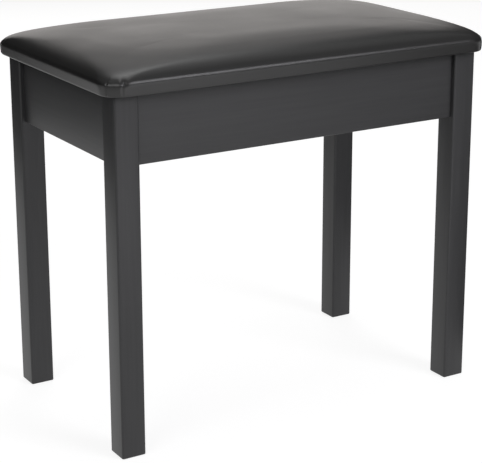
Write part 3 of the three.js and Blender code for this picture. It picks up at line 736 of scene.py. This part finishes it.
# Padded seat: leather cover over foam, both built from the same rings
seatShape = {
    "cornerRadius": 0.025,
    "cornerSpread": 0.008,  # how much larger the corners' radius is at the ridge than at the foot
    "spreadPower": 3,  # how late up the band the radius grows
    "leastRadius": 0.0008,
    "band": 0.0191,
    "bandSteps": 5,
    "footRound": 0.0022,
    "footSteps": 4,
    "footIn": 0.0002,
    "bulge": 0.0015,  # how far the band stands out over its foot
    "ridgeRound": 0.008,
    "ridgeTurn": 45,  # degrees of round between the band and the cushion's side
    "shoulder": 0.060,
    "shoulderCornerRadius": 0.100,
    "squareUntil": 0.026,  # by this far in, the rings have taken the shoulder's corner radius
    "shoulderCurve": (  # across the shoulder from the ridge, and up the crown
        (0, 0), (0.016, 0.051), (0.04, 0.126), (0.073, 0.218), (0.121, 0.329), (0.18, 0.435),
        (0.256, 0.536), (0.341, 0.616), (0.459, 0.691), (0.594, 0.753), (0.746, 0.806),
        (0.84, 0.836), (0.92, 0.857), (1, 0.872)),
    "crownPower": 2.5,  # how flat the middle of the crown is
    "crown": 0.0209,
    "hem": 0.022,
    "hemShares": (0.3, 0.6, 1),
    "thickness": 0.001,
    "foamGap": 0.0013,
    "steps": 34,  # points from the middle of a side to its corner
    "crowding": 0.8,  # how much closer the points are at the corners
    "cornerDroop": 0.0028,  # how much lower the cushion is drawn near its corners
    "droopFull": 0.02,  # the height over the band where it is drawn the whole way
    "droopPower": 4,  # how close to the corners the droop stays
    "startCrown": 0.985,  # the crown before it is inflated
    "freeFrom": 0.3,  # the share of the crown's height from which the leather swells freely
    "quality": 6,
    "mass": 0.4,
    "pressure": 0.6,
    "stiffness": 80,
    "bending": 20,
    "frames": 14,
    "swellCap": 0.0045,
    "evenRounds": 8,  # how often the swelling is evened out between neighbouring points
    "coverSmooth": 60,
    "foamSmooth": 50,
}
ridgeTurn = math.radians(seatShape["ridgeTurn"])
ridgeInset = seatShape["ridgeRound"] * (1 - math.cos(ridgeTurn)) - seatShape["bulge"]
seatLow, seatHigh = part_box("seat_cover")
halfSeat = (seatHigh - seatLow) / 2
underside = seatLow.z


def smoothStep(value, start, end):
    t = min(max((value - start) / (end - start), 0), 1)
    return t * t * (3 - 2 * t)


def alongQuarter(share, halfLong, halfShort, radius):
    # the point at a share of the way from the middle of a side to the middle of its corner's round
    crowding = seatShape["crowding"]
    length = halfLong - radius + radius * math.pi / 4
    distance = length * (share * (1 + crowding) - crowding * share * share)
    if distance <= halfLong - radius:
        return distance, halfShort
    angle = (distance - halfLong + radius) / radius
    return halfLong - radius + radius * math.sin(angle), halfShort - radius + radius * math.cos(angle)


def ringPlace(i, j, halfX, halfY, radius):
    ring = max(abs(i), abs(j))
    if ring == 0:
        return 0.0, 0.0
    if abs(j) == ring:
        x, y = alongQuarter(abs(i) / ring, halfX, halfY, radius)
    else:
        y, x = alongQuarter(abs(j) / ring, halfY, halfX, radius)
    return math.copysign(x, i) if i else 0.0, math.copysign(y, j) if j else 0.0


def cornerRadiusAt(inset, height):
    s = seatShape
    spread = s["cornerSpread"] * min(height / s["band"], 1) ** s["spreadPower"]
    edge = max(s["cornerRadius"] + spread - inset, s["leastRadius"])
    share = smoothStep(inset, ridgeInset, s["squareUntil"])
    return edge + (s["shoulderCornerRadius"] - edge) * share


def sideProfile():
    # (inset, height over the underside) from the shoulder down to the ridge
    s = seatShape
    span = s["shoulder"] - ridgeInset
    shoulder = [(ridgeInset + span * across, s["band"] + s["crown"] * up)
                for across, up in s["shoulderCurve"]]
    return shoulder[::-1]


def bandProfile():
    # on from there: over the ridge, down the band to its foot, and the hem under the board
    s = seatShape
    ridge, foot, steps = s["ridgeRound"], s["footRound"], s["bandSteps"]
    widest = -s["bulge"]
    bandTop = s["band"] - ridge * math.sin(ridgeTurn)
    points = []
    for step in range(1, steps + 1):
        angle = ridgeTurn * (1 - step / steps)
        points.append((widest + ridge * (1 - math.cos(angle)), bandTop + ridge * math.sin(angle)))
    for step in range(1, steps):
        share = step / steps
        points.append((widest + (s["footIn"] - widest) * share, bandTop + (foot - bandTop) * share))
    for step in range(s["footSteps"] + 1):
        angle = math.radians(180 + 90 * step / s["footSteps"])
        points.append((s["footIn"] + foot * (1 + math.cos(angle)), foot * (1 + math.sin(angle))))
    points += [(s["hem"] * share, 0) for share in s["hemShares"]]
    return points


def perimeter(steps):
    # grid places round the edge, anticlockwise from above
    front = [(i, -steps) for i in range(-steps, steps)]
    right = [(steps, j) for j in range(-steps, steps)]
    rear = [(i, steps) for i in range(steps, -steps, -1)]
    left = [(-steps, j) for j in range(steps, -steps, -1)]
    return front + right + rear + left


def crownMesh():
    # the crowned top as an even grid whose rings are shrunken shoulder rings
    # gives its vertices, its faces and the ring of vertices at its edge
    s = seatShape
    steps = s["steps"]
    top = s["shoulderCurve"][-1][1]
    halfX, halfY = halfSeat.x - s["shoulder"], halfSeat.y - s["shoulder"]
    index, vertices = {}, []
    for j in range(-steps, steps + 1):
        for i in range(-steps, steps + 1):
            share = max(abs(i), abs(j)) / steps
            x, y = ringPlace(i, j, halfX, halfY, s["shoulderCornerRadius"])
            height = s["band"] + s["crown"] * (top + (1 - top) * (1 - share ** s["crownPower"]))
            index[i, j] = len(vertices)
            vertices.append((x * share, y * share, underside + height))
    faces = [(index[i, j], index[i + 1, j], index[i + 1, j + 1], index[i, j + 1])
             for j in range(-steps, steps) for i in range(-steps, steps)]
    return vertices, faces, [index[place] for place in perimeter(steps)]


def facesBetween(ring, fresh):
    # the faces that close the strip between two rings of as many vertices
    count = len(ring)
    return [(ring[p], fresh[p], fresh[(p + 1) % count], ring[(p + 1) % count]) for p in range(count)]


def addRings(vertices, faces, ring, profile):
    places = perimeter(seatShape["steps"])
    for inset, height in profile:
        fresh = []
        for i, j in places:
            x, y = ringPlace(i, j, halfSeat.x - inset, halfSeat.y - inset, cornerRadiusAt(inset, height))
            fresh.append(len(vertices))
            vertices.append((x, y, underside + height))
        faces += facesBetween(ring, fresh)
        ring = fresh
    return ring


def meshPiece(name, vertices, faces):
    mesh = bpy.data.meshes.new(name)
    mesh.from_pydata(vertices, [], faces)
    mesh.update()
    return addPiece(name, mesh)


def addPiece(name, mesh):
    piece = bpy.data.objects.new(name, mesh)
    bpy.context.scene.collection.objects.link(piece)
    activate(piece)
    return piece


def coordinates(piece):
    found = np.zeros(len(piece.data.vertices) * 3)
    piece.data.vertices.foreach_get("co", found)
    return found.reshape(-1, 3)


def setCoordinates(piece, places):
    piece.data.vertices.foreach_set("co", places.ravel())
    piece.data.update()


def inflate(piece):
    # the leather is blown up over its foam: the band is held and the crown swells against it
    s = seatShape
    target = coordinates(piece)
    bandTop = underside + s["band"]
    above = np.clip((target[:, 2] - bandTop) / (s["crown"] * s["freeFrom"]), 0, 1)
    start = target.copy()
    lifted = target[:, 2] > bandTop
    start[lifted, 2] = bandTop + (target[lifted, 2] - bandTop) * s["startCrown"]
    setCoordinates(piece, start)
    held = piece.vertex_groups.new(name="held")
    for number, share in enumerate(above):
        held.add([number], 1 - share, "REPLACE")
    modifier = piece.modifiers.new("Cloth", "CLOTH")
    cloth = modifier.settings
    cloth.quality = s["quality"]
    cloth.mass = s["mass"]
    cloth.tension_stiffness = s["stiffness"]
    cloth.compression_stiffness = s["stiffness"]
    cloth.shear_stiffness = s["stiffness"] / 2
    cloth.bending_stiffness = s["bending"]
    cloth.use_pressure = True
    cloth.uniform_pressure_force = s["pressure"]
    cloth.vertex_group_mass = "held"
    cloth.effector_weights.gravity = 0
    modifier.point_cache.frame_start = 1
    modifier.point_cache.frame_end = s["frames"]
    for number in range(1, s["frames"] + 1):
        bpy.context.scene.frame_set(number)
    activate(piece)
    bpy.ops.object.modifier_apply(modifier="Cloth")
    bpy.context.scene.frame_set(1)
    moved = coordinates(piece) - start
    length = np.linalg.norm(moved, axis=1)
    moved *= np.minimum(1, s["swellCap"] / np.maximum(length, tolerance["zero"]))[:, None]
    moved = evenOut(piece, moved) * above[:, None]
    print("crown swells by", round(float(moved[:, 2].max()) * 1000, 2), "mm")
    setCoordinates(piece, start + moved)


def evenOut(piece, moved):
    # each point's move is averaged with its neighbours', which takes out the small buckles
    edges = np.array([edge.vertices[:] for edge in piece.data.edges])
    ends, starts = np.concatenate([edges, edges[:, ::-1]]).T
    count = np.bincount(ends, minlength=len(moved))[:, None]
    for _ in range(seatShape["evenRounds"]):
        total = np.zeros_like(moved)
        np.add.at(total, ends, moved[starts])
        moved = (moved + total / count) / 2
    return moved


pleats = {
    "facet": (34, 71),  # degrees round each corner, the same way round the seat, between its two folds
    "facetBlend": 2,  # degrees over which the facet runs out beyond each fold
    "tab": 0.0009,  # how far the facet between the folds stands proud
    "fold": 0.0009,
    "foldWidth": 2.8,
    "foldBeside": 0.8,  # how many widths a fold's line lies outside the facet
    "foldNarrow": 1.6,
    "looseFold": 0.6,  # how deep the second fold is beside the first
    "foldFade": 4,  # how fast the folds run out up the cushion
    "pocket": 0.0022,  # the open fold beside the facet
    "pocketAt": 81.5,
    "pocketWidth": 4.5,
    "pocketFoot": 0.0128,
    "pocketRise": 0.003,
    "fade": 0.012,
    "riseFrom": 0.0006,
    "past": 0.003,  # how far along the sides, past the corner's centre, the leather is drawn in
}


def tuckPleats(piece):
    # each corner's leather is folded over into a flat facet, with a tight fold and an open one beside it
    s, p = seatShape, pleats
    places = coordinates(piece)
    centreX, centreY = halfSeat.x - s["cornerRadius"], halfSeat.y - s["cornerRadius"]
    across = np.abs(places[:, 0]) - centreX
    along = np.abs(places[:, 1]) - centreY
    radius = np.maximum(np.hypot(across, along), tolerance["point"])
    angle = np.degrees(np.arctan2(along, across))
    turned = places[:, 0] * places[:, 1] < 0
    angle = np.where(turned, 90 - angle, angle)
    height = places[:, 2] - underside
    rise = np.clip((height - p["riseFrom"]) / s["footRound"], 0, 1)
    fade = np.clip(1 - (s["cornerRadius"] - radius - ridgeInset) / p["fade"], 0, 1)
    atCorner = rise * fade * fade * (across > -p["past"]) * (along > -p["past"])
    first, last = p["facet"]
    middle, half = (first + last) / 2, (last - first) / 2
    onFacet = np.clip((half - np.abs(angle - middle)) / p["facetBlend"] + 0.5, 0, 1)
    chord = np.cos(np.radians(half)) / np.cos(np.radians(np.clip(angle - middle, -half, half)))
    shift = (radius * (chord - 1) + p["tab"]) * onFacet
    tight = (angle - first + p["foldWidth"] * p["foldBeside"]) / p["foldWidth"]
    loose = (angle - last - p["foldWidth"] * p["foldBeside"]) / p["foldWidth"]
    tightDepth = np.exp(-(tight * p["foldNarrow"]) ** 2)
    looseDepth = p["looseFold"] * np.exp(-(loose * p["foldNarrow"]) ** 2)
    shift -= p["fold"] * fade ** p["foldFade"] * (tightDepth + looseDepth)
    opened = np.exp(-((angle - p["pocketAt"]) / p["pocketWidth"]) ** 2)
    shift -= p["pocket"] * opened * np.clip((height - p["pocketFoot"]) / p["pocketRise"], 0, 1)
    outward = np.stack([np.sign(places[:, 0]) * across, np.sign(places[:, 1]) * along], axis=1)
    places[:, :2] += outward / radius[:, None] * (shift * atCorner)[:, None]
    setCoordinates(piece, places)


def drawCorners(piece):
    # the folded leather draws the cushion down towards each corner
    s = seatShape
    places = coordinates(piece)
    nearness = (np.abs(places[:, 0]) / halfSeat.x * np.abs(places[:, 1]) / halfSeat.y) ** s["droopPower"]
    above = np.clip((places[:, 2] - underside - s["band"]) / s["droopFull"], 0, 1)
    places[:, 2] -= s["cornerDroop"] * nearness * above
    setCoordinates(piece, places)


def makeCover():
    # gives the places of the foam's top, one skin under the leather
    vertices, faces, ring = crownMesh()
    addRings(vertices, faces, ring, sideProfile()[1:] + bandProfile())
    cover = meshPiece("seat_cover_leather", vertices, faces)
    drawCorners(cover)
    inflate(cover)
    normals = np.zeros(len(vertices) * 3)
    cover.data.vertices.foreach_get("normal", normals)
    foamTop = coordinates(cover) - normals.reshape(-1, 3) * seatShape["foamGap"]
    useModifier(cover, "SUBSURF", levels=1, render_levels=1)
    tuckPleats(cover)
    useModifier(cover, "SOLIDIFY", thickness=seatShape["thickness"], offset=-1)
    finishPiece(
        cover, "leather", "lid", "seat_leather", "seat_cover", smoothAngle=seatShape["coverSmooth"])
    return foamTop


def makeFoam(top):
    # the foam fills the leather: its crown and sides are the leather's own, one skin further in
    low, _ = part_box("seat_foam")
    vertices, faces, ring = crownMesh()
    ring = addRings(vertices, faces, ring, sideProfile()[1:])
    vertices = [tuple(place) for place in top[:len(vertices)]]
    foot = [(x, y, low.z) for x, y, z in (vertices[number] for number in ring)]
    base = [len(vertices) + number for number in range(len(ring))]
    vertices += foot
    faces += facesBetween(ring, base)
    faces.append(tuple(reversed(base)))
    foam = meshPiece("seat_foam_pad", vertices, faces)
    tuckPleats(foam)
    finishPiece(foam, "foam", "lid", "seat_foam", "seat_foam", smoothAngle=seatShape["foamSmooth"])


makeFoam(makeCover())
print("seat cover and foam made")


# Lining stretched under the lid
liningShape = {
    "thickness": 0.0005,
    "grid": (96, 56),
    "ripple": 0.00012,
    "ripples": (9, 5),
    "heldPower": 8,  # how close to its edges the lining is held flat
}


def makeLining():
    low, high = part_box("lid_lining")
    deselectAll()
    columns, rows = liningShape["grid"]
    middle = (0, 0, (low.z + high.z) / 2)
    bpy.ops.mesh.primitive_grid_add(x_subdivisions=columns, y_subdivisions=rows, size=1, location=middle)
    bpy.context.object.scale = (high.x - low.x, high.y - low.y, 1)
    lining = namedPiece("lid_lining_cloth")
    places = coordinates(lining)
    across = places[:, 0] / high.x
    along = places[:, 1] / high.y
    acrossRipples, alongRipples = liningShape["ripples"]
    ripple = np.sin(across * math.pi * acrossRipples) * np.sin(along * math.pi * alongRipples)
    held = liningShape["heldPower"]
    places[:, 2] += liningShape["ripple"] * ripple * (1 - across ** held) * (1 - along ** held)
    setCoordinates(lining, places)
    useModifier(lining, "SOLIDIFY", thickness=liningShape["thickness"], offset=0)
    finishPiece(lining, "lining", "lid", "lid_lining", "lid_lining")


makeLining()
print("lining made")


# Hardware and the bare wood inside
easedNodes = {
    # the end of a node's name: its finish, and how far its sharp edges are eased
    "_corner_block": ("softwood", 0.0006),
    "_foot_pad": ("rubber", 0.0003),
    "_leg_bolt": ("steel", 0.0003),
    "storage_floor": ("hardboard", 0.0005),
    "seat_board": ("plywood", 0.0004),
    "_lid_bumper": ("rubber", 0.0004),
    "_leaf": ("steel", 0.00022),
    "_pin": ("steel", 0.0003),
    "_stay_arm": ("steel", 0.0003),
    "_stay_track": ("steel", 0.0003),
    "_lid_bracket": ("steel", 0.0003),
    "_rivet": ("steel", 0.0005),
    "_screw": ("steel", 0.0002),
    "_screw_1": ("steel", 0.0002),
    "_screw_2": ("steel", 0.0002),
}
cleaning = {"mergeWithin": 0.00001, "flatWithin": 0.5}  # metres, and degrees between joined faces
screwShape = {
    "recess": 0.0034,
    "recessWidth": 0.0009,
    "recessDepth": 0.0011,
    "rim": 0.98,  # the share of the head's radius beyond which its rim is looked for
}
nodeSlots = {row["node"]: row["material_slot"] for row in frame["record"]["subparts"]}


def nodeCopy(nodeName, pieceName):
    # the node's shape with its loose triangles merged and its flat faces joined
    piece = addPiece(pieceName, nodes[nodeName].data.copy())
    bpy.ops.object.mode_set(mode="EDIT")
    bpy.ops.mesh.select_all(action="SELECT")
    bpy.ops.mesh.remove_doubles(threshold=cleaning["mergeWithin"])
    bpy.ops.mesh.dissolve_limited(angle_limit=math.radians(cleaning["flatWithin"]))
    bpy.ops.object.mode_set(mode="OBJECT")
    return piece


def screwHead(nodeName):
    # the middle of the screw's head and the axis that the screw lies along
    low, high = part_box(nodeName)
    middle = (low + high) / 2
    size = high - low
    axis = max(range(3), key=lambda i: size[i])
    places = coordinates(nodes[nodeName])
    radius = np.linalg.norm(np.delete(places - np.array(middle), axis, axis=1), axis=1)
    widest = places[radius > radius.max() * screwShape["rim"], axis].mean()
    middle[axis] = low[axis] if widest < middle[axis] else high[axis]
    return middle, axis


def crossRecess(place, axis):
    # the two crossed slots of a driver, sunk into a screw's head
    cutters = []
    others = [i for i in range(3) if i != axis]
    for across in (0, 1):
        half = Vector((0, 0, 0))
        half[others[across]] = screwShape["recess"] / 2
        half[others[1 - across]] = screwShape["recessWidth"] / 2
        half[axis] = screwShape["recessDepth"]
        cutters.append(boxAt("cutter", place - half, place + half))
    return cutters


def easeNode(nodeName, finish, width):
    piece = nodeCopy(nodeName, nodeName + "_detail")
    if "_screw" in nodeName:
        cutWith(piece, *crossRecess(*screwHead(nodeName)))
    bevelSharp(piece, width)
    finishPiece(piece, finish, nodes[nodeName]["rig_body"], nodeSlots[nodeName], nodeName)


for nodeName in nodes:
    for ending, (finish, width) in easedNodes.items():
        if nodeName.endswith(ending):
            easeNode(nodeName, finish, width)
print("hardware made")


# Screws through the stay brackets, and the staples that hold the leather under the seat board
lidScrew = {
    "head": 0.0031,
    "headSides": 32,
    "headHeight": 0.0015,
    "rimRound": 0.6,  # how much of the head's height its rim is rounded over
    "rimSteps": 4,
    "shank": 0.0014,
    "shankSides": 20,
    "shankOverlap": 0.0002,
    "point": 0.25,  # how wide the shank's point is beside the shank
    "length": 0.011,
    "apart": 0.0066,
    "inset": 0.006,
    "flange": 0.0015,  # the thickness of the bracket that the screws go through
}
staple = {
    "crown": 0.010,
    "wire": 0.0012,
    "thickness": 0.0005,
    "leg": 0.0045,
    "ease": 0.0002,
    "sink": 0.0001,
    "inset": 0.0165,
    "alongLong": 13,
    "alongShort": 7,
    "cornerGap": 0.045,
    "cornerInset": 0.008,
    "tilt": 0.12,  # how far out of line a staple is at most, and how fast that changes along a side
    "tiltAlongLong": 2.3,
    "tiltAlongShort": 1.7,
}


def makeBracketScrews(side):
    low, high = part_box(f"{side}_stay_lid_bracket")
    inner = high.x if side == "left" else low.x
    x = inner + math.copysign(lidScrew["inset"], inner)
    flange = high.z - lidScrew["flange"]
    top = flange - lidScrew["headHeight"]
    sunk = flange - lidScrew["shankOverlap"]
    tip = flange + lidScrew["length"]
    for number, way in ((1, -1), (2, 1)):
        y = (low.y + high.y) / 2 + way * lidScrew["apart"] / 2
        name = f"{side}_stay_bracket_screw_{number}"
        screw = rodAt(name, lidScrew["head"], (x, y, top), (x, y, flange), lidScrew["headSides"])
        bevelEdges(screw, lidScrew["headHeight"] * lidScrew["rimRound"], lidScrew["rimSteps"], liesAt(top))
        cutWith(screw, *crossRecess(Vector((x, y, top)), 2))
        shank = rodAt("shank", lidScrew["shank"], (x, y, sunk), (x, y, tip), lidScrew["shankSides"])
        pointShank(shank, tip)
        joinPieces(screw, shank)
        finishPiece(screw, "steel", "lid", "screw_steel")


def pointShank(shank, level):
    # the shank's far end is drawn in to a point
    places = coordinates(shank)
    ends = np.abs(places[:, 2] - level) < tolerance["point"]
    middle = places[ends].mean(axis=0)
    places[ends, :2] = middle[:2] + (places[ends, :2] - middle[:2]) * lidScrew["point"]
    setCoordinates(shank, places)


def joinPieces(first, *others):
    activate(first)
    for other in others:
        other.select_set(True)
    bpy.ops.object.join()


def makeStaple():
    # one staple at the middle of the seat, its crown under the leather and its legs up in the board
    halfCrown, halfWire, quarterWire = staple["crown"] / 2, staple["wire"] / 2, staple["wire"] / 4
    crown = boxAt("staple", (-halfCrown, -halfWire, underside - staple["thickness"]),
                  (halfCrown, halfWire, underside + staple["sink"]))
    legs = []
    for end in (-1, 1):
        legX = end * (halfCrown - quarterWire)
        legs.append(boxAt("leg", (legX - quarterWire, -halfWire, underside),
                          (legX + quarterWire, halfWire, underside + staple["leg"])))
    joinPieces(crown, *legs)
    bevelSharp(crown, staple["ease"])
    return crown


def makeStaples():
    first = makeStaple()
    copies = []
    for x, y, angle in staplePlaces():
        copy = addPiece("staple", first.data.copy())
        turnBox(copy, angle, (x, y))
        copies.append(copy)
    bpy.data.objects.remove(first)
    joinPieces(*copies)
    copies[0].name = "seat_cover_staples"
    finishPiece(copies[0], "steel", "lid", "screw_steel")


def staplePlaces():
    # the place of each staple and its turn about the upright
    places = []
    reachX, reachY = halfSeat.x - staple["inset"], halfSeat.y - staple["inset"]
    endX, endY = reachX - staple["cornerInset"], reachY - staple["cornerInset"]
    for side in (-1, 1):
        for step in range(staple["alongLong"]):
            x = (2 * step / (staple["alongLong"] - 1) - 1) * (reachX - staple["cornerGap"])
            tilt = staple["tilt"] * math.sin(step * staple["tiltAlongLong"] + side)
            places.append((x, side * reachY, tilt))
        for step in range(staple["alongShort"]):
            y = (2 * step / (staple["alongShort"] - 1) - 1) * (reachY - staple["cornerGap"])
            tilt = staple["tilt"] * math.sin(step * staple["tiltAlongShort"] + side)
            places.append((side * reachX, y, math.pi / 2 + tilt))
        for way in (-1, 1):
            places.append((side * endX, way * endY, -side * way * math.pi / 4))
    return places


for sideName in ("left", "right"):
    makeBracketScrews(sideName)
makeStaples()
print("screws and staples made")

addCamera()
addFloor()
addFlags()
addLamps()
bpy.context.scene.view_settings.view_transform = "Standard"
